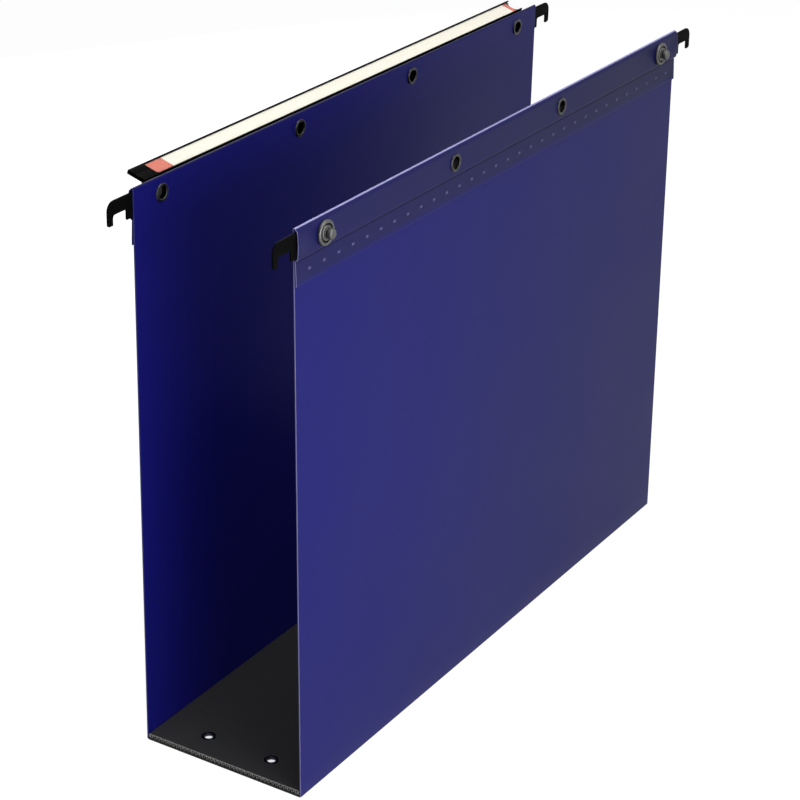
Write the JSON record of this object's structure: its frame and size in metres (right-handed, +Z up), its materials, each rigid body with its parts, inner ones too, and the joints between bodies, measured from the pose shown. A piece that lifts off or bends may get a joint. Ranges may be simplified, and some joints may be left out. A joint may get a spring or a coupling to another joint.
{
  "type": "hanging file folder",
  "caption": "Hanging file folder with stiff box base, hemmed sheet walls on hook bars, press studs and a tilted index rail with a slide-out label.",
  "frame": {"origin": "middle of the base's underside", "axes": "+X along the width to the open end of the index rail, +Y from the studded front wall to the back wall, +Z up"},
  "size_m": [0.348, 0.0925, 0.2562],
  "materials": {
    "blue_sheet": "satin dark blue",
    "black_sheet": "matte black",
    "black_board": "matte black",
    "black_bar": "matte black paint",
    "black_eyelet": "satin black",
    "stud_metal": "dark nickel",
    "socket_metal": "dark nickel",
    "spring_wire": "bright wire",
    "black_rail": "satin black",
    "label_card": "cream card",
    "clear_strip": "clear"
  },
  "bodies": {
    "base": {"base_board": "black_board", "base_eyelet_back_left": "black_eyelet", "base_eyelet_back_right": "black_eyelet", "base_eyelet_front_left": "black_eyelet", "base_eyelet_front_right": "black_eyelet", "base_sheet": "black_sheet"},
    "front_wall": {"front_bar": "black_bar", "front_eyelet_left": "black_eyelet", "front_eyelet_right": "black_eyelet", "front_panel": "blue_sheet", "front_post_left": "black_eyelet", "front_post_right": "black_eyelet", "front_stud_left": "stud_metal", "front_stud_right": "stud_metal"},
    "back_wall": {"back_bar": "black_bar", "back_eyelet_left": "black_eyelet", "back_eyelet_right": "black_eyelet", "back_panel": "blue_sheet", "back_post_left": "black_eyelet", "back_post_right": "black_eyelet", "back_socket_left": "socket_metal", "back_socket_right": "socket_metal", "index_rail": "black_rail", "socket_spring_left": "spring_wire", "socket_spring_right": "spring_wire"},
    "index_insert": {"index_label": "label_card", "index_window": "clear_strip"}
  },
  "joints": [
    {"name": "front_fold", "type": "hinge", "parent": "base", "child": "front_wall", "pos_m": [0, -0.04005, 0.00045], "axis": [1, 0, 0], "range_deg": [-8, 88.5]},
    {"name": "back_fold", "type": "hinge", "parent": "base", "child": "back_wall", "pos_m": [0, 0.04005, 0.00045], "axis": [-1, 0, 0], "range_deg": [-8, 87.5]},
    {"name": "label_slide", "type": "slide", "parent": "back_wall", "child": "index_insert", "axis": [1, 0, 0], "range_m": [0, 0.25]}
  ]
}
